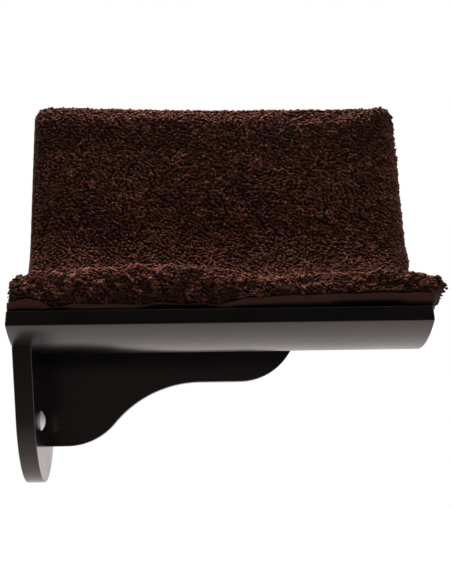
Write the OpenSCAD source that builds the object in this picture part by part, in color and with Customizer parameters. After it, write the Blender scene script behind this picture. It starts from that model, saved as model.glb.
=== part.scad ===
// Cat wall shelf: a bent plywood lounge on a bracket made of a wall plate and a gusset,
// with a fleece pad that lifts off. All sizes are in millimetres.
// X = 0 is the wall and +X points out from it, +Y runs from the front lip to the back, +Z is up.
// The origin lies on the wall, above the lowest point of the plate's foot, level with the wall screw holes.

/* [Bent panel] */
// Length of the shelf, out from the wall
shelf_length = 430; // [360:1:560]
// Thickness of the bent plywood
panel_t = 18; // [14:0.5:21]
// Radius of the underside of the bend
bend_r = 175; // [165:1:195]
// Slope of the front lip at its edge, in degrees
lip_slope = 29; // [22:1:34]
// Slope of the back, in degrees from level
back_slope = 74; // [66:1:78]
// Straight run of the back above the bend
back_run = 170; // [130:1:240]
// How far the lowest line of the bend lies in front of the plate's centre line
bend_setback = 78; // [66:1:86]
// Height of the lowest line of the bend above the wall screw holes
bend_height = 70; // [62:1:84]

/* [Wall plate] */
// Thickness of the wall plate
plate_t = 20; // [17:0.5:25]
// Radius of the plate's round foot
foot_r = 97; // [88:1:104]
// Lowest point of the foot, below the wall screw holes
foot_drop = 68; // [60:1:85]
// Half width of the plate at its shoulders
shoulder_half = 117; // [112:1:124]
// Height of the far shoulder above the wall screw holes
far_shoulder_h = 112; // [102:1:124]
// Radius that rounds the far shoulder
far_shoulder_r = 25; // [10:1:30]

/* [Gusset] */
// Thickness of the gusset
gusset_t = 18; // [14:0.5:22]
// How far the middle of the gusset lies behind the plate's centre line
gusset_back = 38; // [30:1:42]
// Lower edge of the gusset at its heel, below the wall screw holes
gusset_drop = 28; // [22:1:36]
// Level run of the lower edge beside the plate
heel_run = 21; // [15:1:35]
// Radius of the round heel
heel_r = 72; // [60:1:80]
// Radius of the hollow between heel and toe
hollow_r = 128; // [110:1:135]
// Slope where the heel turns into the hollow, in degrees
ogee_slope = 50; // [44:1:53]
// Level run of the lower edge before the toe
toe_run = 46; // [30:1:60]
// Radius of the round toe
toe_r = 67; // [55:1:75]

/* [Screws and dowels] */
// Diameter of a wood screw's shank
screw_d = 4; // [3:0.1:5]
// Diameter of a wood screw's head
screw_head_d = 8; // [7:0.1:9]
// Height of a wood screw's head
screw_head_h = 3; // [2:0.1:3.5]
// Length of the screws that go down through the panel, under the head
panel_screw_l = 42; // [34:1:46]
// Length of the screws that go through the plate into the gusset, under the head
plate_screw_l = 46; // [38:1:48]
// Height of the lower plate screw above the wall screw holes
plate_screw_low = 20; // [16:1:24]
// Distance between the two plate screws
plate_screw_pitch = 40; // [36:1:44]
// Distance of the first gusset screw from the plate
gusset_screw_start = 55; // [50:1:60]
// Distance between the screws along the gusset
gusset_screw_pitch = 80; // [60:1:84]
// Distance of the first panel screw of the plate from its near shoulder
shoulder_screw_in = 27; // [22:1:32]
// Distance between the panel screws of the plate
shoulder_screw_pitch = 50; // [40:1:60]
// Diameter of a dowel
dowel_d = 8; // [6:0.5:9]
// Depth of a dowel in the plate
dowel_in_plate = 13; // [9:0.5:14]
// Depth of a dowel in the gusset
dowel_in_gusset = 22; // [15:0.5:26]
// Distance between the two dowels
dowel_pitch = 48; // [46:1:50]

/* [Wall screw holes and covers] */
// Distance of the near wall screw hole in front of the plate's centre line
near_hole_in = 36; // [30:1:45]
// Distance of the far wall screw hole behind the plate's centre line
far_hole_in = 75; // [72:1:78]
// Diameter of a wall screw hole
wall_hole_d = 5.5; // [4.5:0.1:6.5]
// Diameter of the pocket for a wall screw's head
pocket_d = 12; // [11:0.5:14]
// Depth of the pocket for a wall screw's head
pocket_depth = 11; // [9:0.5:13]
// Diameter of a screw cover
cover_d = 22; // [18:0.5:26]
// Height of a screw cover's dome
cover_h = 4.5; // [3.5:0.1:6]
// Wall of a screw cover
cover_wall = 1.3; // [1:0.1:1.6]
// Depth of a screw cover's stem in its pocket
cover_stem = 5; // [3:0.5:7]

/* [Pad] */
// Thickness of the foam
foam_t = 24; // [16:1:28]
// Thickness of the fleece over the foam
fleece_t = 22; // [14:1:26]
// Width of the fleece edge round the foam
fleece_edge = 24; // [18:1:30]
// Thickness of the lining under the pad
lining_t = 1.3; // [0.8:0.1:2]
// How far the lining's edges lie in from the edges of the panel
lining_in = 4; // [2:1:8]
// How far the fleece reaches past the panel's free end at the lip
end_overhang = 10; // [2:1:12]
// How far the fleece reaches past the panel's free end at the top
top_end_overhang = 1; // [0:1:8]
// How far the fleece reaches past the front lip
lip_overhang = 5; // [0:1:10]
// How far the fleece reaches past the top of the back
top_overhang = 4; // [0:1:14]
// Rise of the pad's crown
crown = 5; // [0:0.5:8]
// How far the pad's edges draw in between their corners
draw_in = 4; // [0:0.5:8]
// Swell of the front roll, more and less along its length
roll_swell = 6; // [0:0.5:8]
// Distance from the wall to the fullest part of the front roll
roll_peak = 100; // [60:5:160]
// Distance from one full part of the front roll to the next
roll_wave = 370; // [300:5:450]

/* [Hook and loop strips] */
// Width of the strips
strip_w = 25; // [16:1:32]
// Thickness of a strip
strip_t = 1.2; // [0.8:0.1:1.6]
// Distance of the strips' ends from the ends of the panel
strip_end = 25; // [10:1:60]
// Distance of the seat strip from the front lip
seat_strip_in = 22; // [12:1:28]
// Distance of the back strip from the top of the back
back_strip_in = 45; // [25:1:60]

/* [Clearances] */
// Glue line between the panel and the bracket
glue_gap = 0.2; // [0.1:0.05:0.4]
// Clearance of a screw or a dowel in its hole, on the radius
hole_gap = 0.1; // [0.05:0.05:0.2]
// Clearance of a cover's stem in its pocket, on the radius
stem_gap = 0.08; // [0.04:0.01:0.1]
// Distance between hooks and loops, where they grip
grip_gap = 0.4; // [0.3:0.05:0.6]
// Distance between the layers of the pad
layer_gap = 0.15; // [0.1:0.05:0.3]
// Clearance of the pad to the wall
wall_gap = 0.5; // [0.3:0.1:2]
// Clearance of the foam in the fleece
foam_gap = 0.4; // [0.3:0.1:1]

/* [Hidden] */

$fn = 72;
paint_black = "#1a1614";
zinc = "#b9bcc0";
nickel = "#d8d6d2";
beech = "#c8a878";
hook_black = "#26221f";
lining_brown = "#3a241b";
fleece_brown = "#4a2c22";
foam_cream = "#e6dcc0";

// The bend: its axis, its inner radius and the length of its inner face
bend_y = -bend_setback;
bend_z = bend_height + bend_r;
inner_r = bend_r - panel_t;
arc_l = inner_r * (lip_slope + back_slope) * PI / 180;
face_l = arc_l + back_run;
// A cut that has to pass right through a piece runs this far past it
past = 1;

// Height of the panel's upper and lower face at a place across the bend
function upper_z(y) = bend_z - sqrt(inner_r * inner_r - pow(y - bend_y, 2));
function lower_z(y) = bend_z - sqrt(bend_r * bend_r - pow(y - bend_y, 2));

// Point [y, z] at a length along the panel's inner face and a height above it
function face_point(along, rise) =
    let (turn = min(max(along, 0), arc_l) / inner_r * 180 / PI - lip_slope,
         run = along < 0 ? along : max(along - arc_l, 0))
    [bend_y + (inner_r - rise) * sin(turn) + run * cos(turn),
     bend_z - (inner_r - rise) * cos(turn) + run * sin(turn)];

// Points on an arc
function arc(centre, r, from, to, steps) =
    [for (i = [0 : steps]) let (turn = from + (to - from) * i / steps)
        centre + r * [cos(turn), sin(turn)]];

// Moves a drawing of the plane across the shelf to a stretch of its length
module along_shelf(from, to) {
    translate([from, 0, 0]) rotate([90, 0, 90]) linear_extrude(to - from) children();
}

// A layer on the panel's inner face, between two lengths along it and two heights above it
bend_steps = 48;
module face_layer(from, to, low, high) {
    bend_to = min(to, arc_l);
    bends = from < arc_l ? [for (i = [0 : bend_steps]) from + (bend_to - from) * i / bend_steps] : [from];
    lengths = to > arc_l ? concat(bends, [to]) : bends;
    last = len(lengths) - 1;
    polygon(concat(
        [for (i = [0 : last]) face_point(lengths[i], low)],
        [for (i = [0 : last]) face_point(lengths[last - i], high)]));
}

// The space that the bend takes, for the pieces that are coped to its underside
module bend_cope() {
    along_shelf(-past, shelf_length + past) translate([bend_y, bend_z]) circle(bend_r + glue_gap);
}

// A wood screw with a flat head, a cross recess and a pointed end: head up, its underside at Z = 0
tip_l = 6;
recess_w = 1.1;
recess_l = 4.4;
recess_floor = 1.2;
module wood_screw(length) {
    difference() {
        rotate_extrude() polygon([
            [0, screw_head_h], [screw_head_d / 2, screw_head_h], [screw_head_d / 2, 0],
            [screw_d / 2, 0], [screw_d / 2, tip_l - length], [0, -length]]);
        for (turn = [0, 90]) rotate(turn) translate([-recess_l / 2, -recess_w / 2, recess_floor])
            cube([recess_l, recess_w, screw_head_h]);
    }
}

// The hole for a wood screw, with a pocket that lets its head in from above
module screw_hole(length, pocket) {
    translate([0, 0, -length - hole_gap]) cylinder(d = screw_d + 2 * hole_gap, h = length + past);
    cylinder(d = screw_head_d + 2 * hole_gap, h = pocket);
}

// The screws that go down through the panel: their heads lie just under its face
function head_seat(y) =
    min(upper_z(y - screw_head_d / 2), upper_z(y + screw_head_d / 2)) - screw_head_h - glue_gap;
gusset_screw_count = 3;
module at_gusset_screws() {
    for (i = [0 : gusset_screw_count - 1])
        translate([plate_t + gusset_screw_start + i * gusset_screw_pitch, gusset_back, head_seat(gusset_back)])
            children();
}
shoulder_screw_count = 2;
module at_shoulder_screws() {
    for (i = [0 : shoulder_screw_count - 1])
        let (y = -shoulder_half + shoulder_screw_in + i * shoulder_screw_pitch)
        translate([plate_t / 2, y, head_seat(y)]) children();
}
module panel_screw_holes() {
    at_gusset_screws() screw_hole(panel_screw_l, panel_t);
    at_shoulder_screws() screw_hole(panel_screw_l, panel_t);
}

// The screws that go through the plate into the gusset: their heads lie just under the wall face
module at_plate_screws() {
    for (z = [plate_screw_low, plate_screw_low + plate_screw_pitch])
        translate([screw_head_h + glue_gap, gusset_back, z]) rotate([0, -90, 0]) children();
}
module plate_screw_holes() {
    at_plate_screws() screw_hole(plate_screw_l, screw_head_h + past);
}

// The dowels between the plate and the gusset, one below and one between the plate screws
dowel_low = plate_screw_low + plate_screw_pitch / 2 - dowel_pitch;
module at_dowels() {
    for (z = [dowel_low, dowel_low + dowel_pitch])
        translate([plate_t - dowel_in_plate, gusset_back, z]) rotate([0, 90, 0]) children();
}
module dowel_holes() {
    at_dowels() translate([0, 0, -hole_gap])
        cylinder(d = dowel_d + 2 * hole_gap, h = dowel_in_plate + dowel_in_gusset + 2 * hole_gap);
}

// The plate's outline: a round foot, straight sides that touch it, and a rounded far shoulder
foot_centre = [0, foot_r - foot_drop];
near_shoulder = [-shoulder_half, lower_z(-shoulder_half)];
far_shoulder = [shoulder_half, far_shoulder_h];
function bearing(p) = let (d = p - foot_centre) atan2(d[1], d[0]);
function touch_turn(p) = acos(foot_r / norm(p - foot_centre));
near_touch = bearing(near_shoulder) + touch_turn(near_shoulder);
far_touch = bearing(far_shoulder) - touch_turn(far_shoulder);
side_reach = foot_r + foot_centre * [cos(far_touch), sin(far_touch)];
far_round_z = far_shoulder_h - far_shoulder_r;
far_round_y = (side_reach - far_shoulder_r - far_round_z * sin(far_touch)) / cos(far_touch);
foot_steps = 48;
round_steps = 12;
module plate_outline() {
    polygon(concat(
        [near_shoulder],
        arc(foot_centre, foot_r, near_touch, far_touch + 360, foot_steps),
        arc([far_round_y, far_round_z], far_shoulder_r, far_touch, 90, round_steps),
        [[bend_y, far_shoulder_h]]));
}

// The gusset's outline: heel, hollow and toe along the lower edge, and a top that the cope cuts off
heel_centre = [plate_t + heel_run, heel_r - gusset_drop];
ogee_turn = [sin(ogee_slope), -cos(ogee_slope)];
hollow_centre = heel_centre + (heel_r + hollow_r) * ogee_turn;
toe_centre = [hollow_centre[0] + toe_run, hollow_centre[1] + hollow_r + toe_r];
curve_steps = 20;
module gusset_outline() {
    polygon(concat(
        [[plate_t, bend_z], [plate_t, -gusset_drop]],
        arc(heel_centre, heel_r, -90, ogee_slope - 90, curve_steps),
        arc(hollow_centre, hollow_r, ogee_slope + 90, 90, curve_steps),
        arc(toe_centre, toe_r, -90, 0, curve_steps),
        [[toe_centre[0] + toe_r, bend_z]]));
}

// The wall screw holes, each with a pocket for the head on the room side
module at_wall_hole(y) {
    translate([0, y, 0]) rotate([0, 90, 0]) children();
}
module wall_holes() {
    for (y = [-near_hole_in, far_hole_in]) at_wall_hole(y) {
        translate([0, 0, -past]) cylinder(d = wall_hole_d, h = plate_t + 2 * past);
        translate([0, 0, plate_t - pocket_depth]) cylinder(d = pocket_d, h = pocket_depth + past);
    }
}

// A domed cover whose stem goes into the pocket, its seat at Z = 0
dome_r = (cover_d * cover_d / 4 + cover_h * cover_h) / (2 * cover_h);
dome_turn = asin(cover_d / 2 / dome_r);
stem_r = pocket_d / 2 - stem_gap;
module screw_cover() {
    color(nickel) rotate_extrude() {
        intersection() {
            translate([0, cover_h - dome_r]) circle(dome_r);
            union() {
                square([cover_d, cover_wall]);
                translate([stem_r - cover_wall, 0]) square([cover_wall, cover_h]);
                difference() {
                    square([cover_d, cover_h + past]);
                    translate([0, cover_h - dome_r]) circle(dome_r - cover_wall);
                }
            }
        }
        translate([stem_r - cover_wall, -cover_stem]) square([cover_wall, cover_stem + cover_wall / 2]);
    }
}

// Heights above the panel's face: hooks, loops, lining, then foam and fleece
hook_low = layer_gap;
loop_low = hook_low + strip_t + grip_gap;
lining_low = loop_low + strip_t + layer_gap;
pad_low = lining_low + lining_t + layer_gap;
// Where the pad lies along the panel's face and along the shelf
pad_from = -lip_overhang;
pad_to = face_l + top_overhang;
function pad_end(across) =
    shelf_length + end_overhang + (top_end_overhang - end_overhang) * (1 + across) / 2;
// Where the seat foam stops and the back foam starts
foam_split = arc_l - fleece_edge;

// The pad's outer form. Across is -1 at the lip and 1 at the top, along is 0 at the wall and 1 at
// the free end. The form is full in the middle, rounds off at its edges and rests flat below.
edge_power = 24;
end_power = 30;
thin_end = 0.55;
edge_level = 0.4;
across_steps = 26;
along_steps = 18;
last_along = pow(1 - thin_end * thin_end, 1 / end_power);
function fullness(across, along) =
    sqrt(max(1 - pow(abs(across), edge_power), 0)) * sqrt(1 - pow(along, end_power));
function pad_thickness(across, x) =
    foam_t + fleece_t + crown * (1 - across * across)
    + roll_swell * cos(360 * (x - roll_peak) / roll_wave) * pow(max(-across, 0), 2);
function pad_point(across, along, upper) =
    let (middle = 1 - across * across,
         end = pad_end(across) - draw_in * middle,
         x = wall_gap + (end - wall_gap) * along / last_along,
         bow = draw_in * sin(180 * along / last_along) * abs(across),
         length = (pad_from + bow) + (pad_to - pad_from - 2 * bow) * (1 + across) / 2,
         full = fullness(across, along),
         level = upper ? edge_level + (1 - edge_level) * full : edge_level * (1 - full),
         place = face_point(length, pad_low + pad_thickness(across, x) * level))
    [x, place[0], place[1]];
// Each ring goes up over the pad from the lip to the top and back along its underside
ring = 2 * across_steps;
function ring_point(i, k) =
    let (upper = k <= across_steps,
         step = upper ? k : ring - k)
    pad_point(sin(180 * step / across_steps - 90), last_along * sin(90 * i / along_steps), upper);
module pad_form() {
    points = [for (i = [0 : along_steps], k = [0 : ring - 1]) ring_point(i, k)];
    skin = [for (i = [0 : along_steps - 1], k = [0 : ring - 1])
        let (a = i * ring + k, b = i * ring + (k + 1) % ring)
        each [[a, b, a + ring], [b, b + ring, a + ring]]];
    ends = [for (k = [0 : across_steps - 1], last = [0, along_steps * ring])
        let (a = last + k, b = last + k + 1, c = last + (ring - k - 1) % ring, d = last + (ring - k) % ring)
        each last == 0 ? [[a, c, b], [a, d, c]] : [[a, b, c], [a, c, d]]];
    flat = [for (f = concat(skin, ends)) if (f[0] != f[1] && f[1] != f[2] && f[0] != f[2]) f];
    polyhedron(points, flat);
}

// A slab of foam on the lining, and the space that the fleece leaves for it
foam_from = pad_from + fleece_edge;
foam_to = pad_to - fleece_edge;
foam_x = [wall_gap + fleece_edge / 2, shelf_length - fleece_edge];
module foam_slab(from, to) {
    color(foam_cream) along_shelf(foam_x[0], foam_x[1]) face_layer(from, to, pad_low, pad_low + foam_t);
}
module foam_space() {
    along_shelf(foam_x[0] - foam_gap, foam_x[1] + foam_gap)
        face_layer(foam_from - foam_gap, foam_to + foam_gap, 0, pad_low + foam_t + foam_gap);
}

// A hook or loop strip along the shelf
module strip(from, low) {
    along_shelf(strip_end, shelf_length - strip_end) face_layer(from, from + strip_w, low, low + strip_t);
}
back_strip_from = face_l - back_strip_in - strip_w;

module seat_panel() {
    color(paint_black) difference() {
        along_shelf(0, shelf_length) face_layer(0, face_l, -panel_t, 0);
        panel_screw_holes();
    }
}
module wall_plate() {
    color(paint_black) difference() {
        along_shelf(0, plate_t) plate_outline();
        bend_cope();
        wall_holes();
        plate_screw_holes();
        dowel_holes();
        panel_screw_holes();
    }
}
module gusset() {
    color(paint_black) difference() {
        translate([0, gusset_back + gusset_t / 2, 0]) rotate([90, 0, 0]) linear_extrude(gusset_t)
            gusset_outline();
        bend_cope();
        plate_screw_holes();
        dowel_holes();
        panel_screw_holes();
    }
}
module plate_screws() {
    color(zinc) at_plate_screws() wood_screw(plate_screw_l);
}
module gusset_dowels() {
    color(beech) at_dowels() cylinder(d = dowel_d, h = dowel_in_plate + dowel_in_gusset);
}
module gusset_screws() {
    color(zinc) at_gusset_screws() wood_screw(panel_screw_l);
}
module shoulder_screws() {
    color(zinc) at_shoulder_screws() wood_screw(panel_screw_l);
}
module near_screw_cover() {
    at_wall_hole(-near_hole_in) translate([0, 0, plate_t]) screw_cover();
}
module far_screw_cover() {
    at_wall_hole(far_hole_in) translate([0, 0, plate_t]) screw_cover();
}
module seat_hook_strip() {
    color(hook_black) strip(seat_strip_in, hook_low);
}
module back_hook_strip() {
    color(hook_black) strip(back_strip_from, hook_low);
}
module seat_loop_strip() {
    color(lining_brown) strip(seat_strip_in, loop_low);
}
module back_loop_strip() {
    color(lining_brown) strip(back_strip_from, loop_low);
}
module pad_lining() {
    color(lining_brown) along_shelf(wall_gap, shelf_length - lining_in)
        face_layer(lining_in / 2, face_l - lining_in, lining_low, lining_low + lining_t);
}
module seat_foam() {
    foam_slab(foam_from, foam_split - foam_gap);
}
module back_foam() {
    foam_slab(foam_split, foam_to);
}
module fleece_cover() {
    color(fleece_brown) difference() {
        pad_form();
        foam_space();
    }
}

seat_panel();
wall_plate();
gusset();
plate_screws();
gusset_dowels();
gusset_screws();
shoulder_screws();
near_screw_cover();
far_screw_cover();
seat_hook_strip();
back_hook_strip();
seat_loop_strip();
back_loop_strip();
pad_lining();
seat_foam();
back_foam();
fleece_cover();
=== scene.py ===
"""Cat wall shelf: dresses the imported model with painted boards, screw covers and a fleece pad."""

import math

import bmesh
import bpy
import numpy as np
from mathutils import Euler, Matrix, Vector, noise


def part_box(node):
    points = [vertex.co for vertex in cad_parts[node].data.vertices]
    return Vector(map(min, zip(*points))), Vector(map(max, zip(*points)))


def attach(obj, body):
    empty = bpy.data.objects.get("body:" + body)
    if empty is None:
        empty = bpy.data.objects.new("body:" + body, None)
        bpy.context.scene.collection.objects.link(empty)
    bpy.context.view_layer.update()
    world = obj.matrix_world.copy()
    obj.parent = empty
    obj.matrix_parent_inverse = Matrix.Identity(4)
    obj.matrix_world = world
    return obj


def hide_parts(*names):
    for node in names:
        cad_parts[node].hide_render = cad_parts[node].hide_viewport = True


bl_info = {
    "name": "Cat Wall Shelf",
    "version": (1, 0, 0),
    "blender": (4, 5, 0),
    "location": "View3D > Sidebar > Cat Shelf",
    "description": "Dresses a cat wall shelf: painted boards, screw covers, fixings and a fleece pad",
    "category": "Add Mesh",
}

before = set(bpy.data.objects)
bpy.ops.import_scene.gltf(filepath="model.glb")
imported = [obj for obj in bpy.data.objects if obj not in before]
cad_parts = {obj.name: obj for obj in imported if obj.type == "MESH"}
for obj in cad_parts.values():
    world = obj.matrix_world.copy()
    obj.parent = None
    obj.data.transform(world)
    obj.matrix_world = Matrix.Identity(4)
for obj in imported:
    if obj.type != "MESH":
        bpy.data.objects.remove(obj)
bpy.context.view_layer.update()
PANEL_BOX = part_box("seat_panel")
PLATE_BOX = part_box("wall_plate")
GUSSET_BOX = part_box("gusset")
LINING_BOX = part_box("pad_lining")
COVERS = (
    ("near_dome", "near_screw_cover", "near_cover"),
    ("far_dome", "far_screw_cover", "far_cover"),
)

MM = 0.001
TOUCH = 0.02 * MM  # a point this close to a joint lies on it


def length(name, text, default):
    """A size in metres that a user may change."""
    return bpy.props.FloatProperty(name=name, description=text, default=default, unit="LENGTH", precision=4)


def angle(name, text, degrees):
    """An angle that a user may change."""
    default = math.radians(degrees)
    return bpy.props.FloatProperty(name=name, description=text, default=default, subtype="ANGLE")


def colour(name, text, default):
    """A colour that a user may change."""
    return bpy.props.FloatVectorProperty(
        name=name, description=text, default=default, size=3, min=0, max=1, subtype="COLOR"
    )


class CatShelfBoards(bpy.types.PropertyGroup):
    """Sizes of the bent panel, the wall plate and the gusset."""

    shelf_length: length("Shelf length", "Length of the shelf, out from the wall", PANEL_BOX[1].x)
    panel_t: length("Panel thickness", "Thickness of the bent plywood", 18 * MM)
    bend_r: length("Bend radius", "Radius of the underside of the bend", 175 * MM)
    bend_y: length("Bend setback", "Place of the bend's axis across the shelf", -78 * MM)
    bend_z: length("Bend axis height", "Height of the bend's axis", 245 * MM)
    lip_slope: angle("Lip slope", "Slope of the front lip at its edge", 29)
    back_slope: angle("Back slope", "Slope of the back from level", 74)
    back_run: length("Back run", "Straight run of the back above the bend", 170 * MM)
    plate_t: length("Plate thickness", "Thickness of the wall plate", PLATE_BOX[1].x)
    foot_r: length("Foot radius", "Radius of the plate's round foot", 97 * MM)
    foot_low: length("Foot", "Lowest point of the plate", PLATE_BOX[0].z)
    shoulder_half: length("Half width", "Half width of the plate at its shoulders", 117 * MM)
    far_shoulder_h: length("Far shoulder", "Height of the far shoulder", PLATE_BOX[1].z)
    far_shoulder_r: length("Far shoulder radius", "Radius that rounds the far shoulder", 25 * MM)
    gusset_t: length("Gusset thickness", "Thickness of the gusset", GUSSET_BOX[1].y - GUSSET_BOX[0].y)
    gusset_y: length(
        "Gusset place", "Middle of the gusset across the shelf", (GUSSET_BOX[0].y + GUSSET_BOX[1].y) / 2
    )
    gusset_low: length("Gusset heel", "Height of the gusset's lower edge at its heel", GUSSET_BOX[0].z)
    heel_run: length("Heel run", "Level run of the lower edge beside the plate", 21 * MM)
    heel_r: length("Heel radius", "Radius of the round heel", 72 * MM)
    hollow_r: length("Hollow radius", "Radius of the hollow between heel and toe", 128 * MM)
    ogee_slope: angle("Ogee slope", "Slope where the heel turns into the hollow", 50)
    toe_run: length("Toe run", "Level run of the lower edge before the toe", 46 * MM)
    toe_r: length("Toe radius", "Radius of the round toe", 67 * MM)
    edge_r: length("Edge round", "Radius that the boards' edges are sanded to", 1.4 * MM)
    glue_gap: length("Glue line", "Glue line between the panel and the bracket", 0.2 * MM)


class CatShelfPad(bpy.types.PropertyGroup):
    """Sizes of the fleece pad."""

    pad_low: length("Pad underside", "Height of the pad's underside above the panel's face", 4.55 * MM)
    lip_over: length("Lip overhang", "How far the pad reaches past the front lip", 3 * MM)
    top_over: length("Top overhang", "How far the pad reaches past the top of the back", 7 * MM)
    lip_end: length("Free end at the lip", "Reach of the pad along the shelf at the lip", 446 * MM)
    seat_end: length("Free end at the seat", "Reach of the pad, behind the front roll", 434 * MM)
    bend_end: length("Free end at the bend", "Reach of the pad, where the back starts", 442 * MM)
    top_end: length("Free end at the top", "Reach of the pad, at the top", 432.5 * MM)
    thickness: length("Thickness", "Thickness of the pad without its pile", 40 * MM)
    crown: length("Crown", "Rise of the pad's middle", 4 * MM)
    voxel: length("Voxel", "Size of the remesh that the cloth starts from", 5 * MM)
    cap: length("Cap", "How far a point of the cloth may move", 6 * MM)
    nub_pitch: length("Nub pitch", "Distance between the nubs of the pile", 3.5 * MM)
    roll_pitch: length("Roll pitch", "Distance between the nubs of the front roll", 2.6 * MM)
    nub_size: length("Nub size", "Radius of a nub of the pile", 2.2 * MM)


class CatShelfColours(bpy.types.PropertyGroup):
    """Colours of the finishes."""

    # The two black paints are one paint in a shaded and a lit copy: the panel's darker, painted shade that
    # dims its rim, the bracket's lighter, painted light that lifts it in the shade under the shelf.
    panel_paint_shaded: colour("Panel paint", "Black paint of the bent panel", (0.0024, 0.0021, 0.0022))
    bracket_paint_lit: colour("Bracket paint", "Black paint of the plate and the gusset", (0.0056, 0.005, 0.0054))
    nickel: colour("Nickel", "Brushed nickel of the screw covers", (0.95, 0.94, 0.92))
    zinc: colour("Zinc", "Zinc plating of the screws", (0.62, 0.63, 0.64))
    beech: colour("Beech", "Beech of the dowels", (0.52, 0.33, 0.17))
    tape: colour("Tape", "Hook tape on the panel", (0.02, 0.018, 0.017))
    lining: colour("Lining", "Smooth cloth under the pad", (0.068, 0.027, 0.019))
    fleece_tip: colour("Fleece tips", "Tips of the fleece's nubs", (0.120, 0.042, 0.028))
    # The roots' colour is painted shade: the darkness deep between the nubs.
    fleece_root_shade: colour("Fleece roots", "Depth between the fleece's nubs", (0.016, 0.006, 0.0042))


# Shared makers

EDGE_STEPS = 3
SHARP_EDGE = math.radians(25)
HOLE_SIDES = 40


def link_mesh(name, mesh):
    """A new object at the origin that shows a mesh."""
    obj = bpy.data.objects.new(name, mesh)
    bpy.context.scene.collection.objects.link(obj)
    return obj


def from_bmesh(name, bm):
    """A new object at the origin from a bmesh, which is freed."""
    mesh = bpy.data.meshes.new(name)
    bm.to_mesh(mesh)
    bm.free()
    return link_mesh(name, mesh)


def applied(obj):
    """The mesh of an object with its modifiers applied."""
    graph = bpy.context.evaluated_depsgraph_get()
    return bpy.data.meshes.new_from_object(obj.evaluated_get(graph))


def vertex_places(mesh):
    """A mesh's points as an array."""
    co = np.empty(len(mesh.vertices) * 3)
    mesh.vertices.foreach_get("co", co)
    return co.reshape(-1, 3)


def point_values(mesh, label, values):
    """Keeps a value for each point of a mesh, which its material reads."""
    mesh.attributes.new(label, "FLOAT", "POINT").data.foreach_set("value", values)


def shade_smooth(mesh, degrees=None):
    """Smooth shading, which breaks at edges sharper than an angle if one is given."""
    mesh.polygons.foreach_set("use_smooth", [True] * len(mesh.polygons))
    if degrees:
        mesh.set_sharp_from_angle(angle=math.radians(degrees))


def set_material(mesh, material):
    """Makes a material the only one of a mesh."""
    mesh.materials.clear()
    mesh.materials.append(material)


def cast(obj, body, slot, material, *nodes):
    """Gives a piece its body and its material, and hides the CAD nodes that it stands for. The slot is not
    used.
    """
    set_material(obj.data, material)
    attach(obj, body)
    if nodes:
        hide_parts(*nodes)


def finish_board(obj, material, node):
    """Shades a board, its broad faces flat beside their rounded edges, and casts it."""
    shade_smooth(obj.data, 32)
    obj.modifiers.new("Weighted normals", "WEIGHTED_NORMAL").keep_sharp = True
    cast(obj, "shelf", "black_paint", material, node)


def only(geom, kind):
    """The items of one kind among the geometry that a bmesh operator returns."""
    return [item for item in geom if isinstance(item, kind)]


def heading(turn):
    """The direction of an angle in a plane."""
    return Vector((math.cos(turn), math.sin(turn)))


def outward(bm):
    """Turns the faces of a bmesh outwards."""
    bmesh.ops.recalc_face_normals(bm, faces=bm.faces)


def line_to(bm, vert, point):
    """Draws a straight run of an outline and returns its end."""
    end = bmesh.ops.extrude_vert_indiv(bm, verts=[vert])["verts"][0]
    end.co = point
    return end


def arc_about(bm, vert, centre, axis, turn, steps):
    """Draws an arc of an outline and returns its end."""
    made = bmesh.ops.spin(bm, geom=[vert], cent=centre, axis=axis, angle=turn, steps=steps)
    return only(made["geom_last"], bmesh.types.BMVert)[0]


def extrude_face(bm, face, vec):
    """Extrudes a face of a bmesh along a vector."""
    made = bmesh.ops.extrude_face_region(bm, geom=[face])["geom"]
    bmesh.ops.translate(bm, vec=vec, verts=only(made, bmesh.types.BMVert))


def fill_holes(bm, sides=0):
    """Closes the open borders of a bmesh, of any number of sides or up to a given one."""
    bmesh.ops.holes_fill(bm, edges=[e for e in bm.edges if e.is_boundary], sides=sides)
    outward(bm)


def fill_outline(bm, thickness):
    """Closes an outline and extrudes it to a board."""
    bmesh.ops.remove_doubles(bm, verts=bm.verts, dist=1e-6)
    ends = [v for v in bm.verts if len(v.link_edges) == 1]
    if len(ends) == 2:
        bm.edges.new(ends)
    face = bmesh.ops.contextual_create(bm, geom=bm.edges[:])["faces"][0]
    extrude_face(bm, face, thickness)
    outward(bm)


def round_edges(bm, radius, joined=lambda co: False):
    """Rounds the sharp edges of a board, apart from those that lie on the board it is joined to."""
    sharp = [e for e in bm.edges if e.calc_face_angle(0) > SHARP_EDGE]
    sharp = [e for e in sharp if not all(joined(v.co) for v in e.verts)]
    shape = {"segments": EDGE_STEPS, "profile": 0.5, "clamp_overlap": True}
    bmesh.ops.bevel(bm, geom=sharp, offset=radius, affect="EDGES", material=-1, **shape)
    outward(bm)


def drill(obj, holes):
    """Cuts round holes, each (point, direction, radius, depth), out of a piece."""
    bm = bmesh.new()
    for point, direction, radius, depth in holes:
        place = Matrix.Translation(Vector(point) + Vector(direction) * depth / 2)
        turn = Vector(direction).to_track_quat("Z", "Y").to_matrix().to_4x4()
        shape = {"segments": HOLE_SIDES, "radius1": radius, "radius2": radius, "depth": depth}
        bmesh.ops.create_cone(bm, cap_ends=True, matrix=place @ turn, **shape)
    cutter = from_bmesh(obj.name + "_drill", bm)
    cut = obj.modifiers.new("Drill", "BOOLEAN")
    cut.operation, cut.solver, cut.use_self, cut.object = "DIFFERENCE", "EXACT", True, cutter
    drilled = applied(obj)
    obj.modifiers.remove(cut)
    bpy.data.objects.remove(cutter)
    obj.data = drilled


# Materials

PANEL_DULL, BRACKET_DULL = 0.22, 0.16
PAINT_TINT = (1.0, 0.85, 0.81, 1)
FLEECE_SHEEN = (0.85, 0.42, 0.32, 1)
FLEECE_PATCH = ((0.82, 0.8, 0.8, 1), (1.12, 1.05, 1.02, 1))


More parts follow.
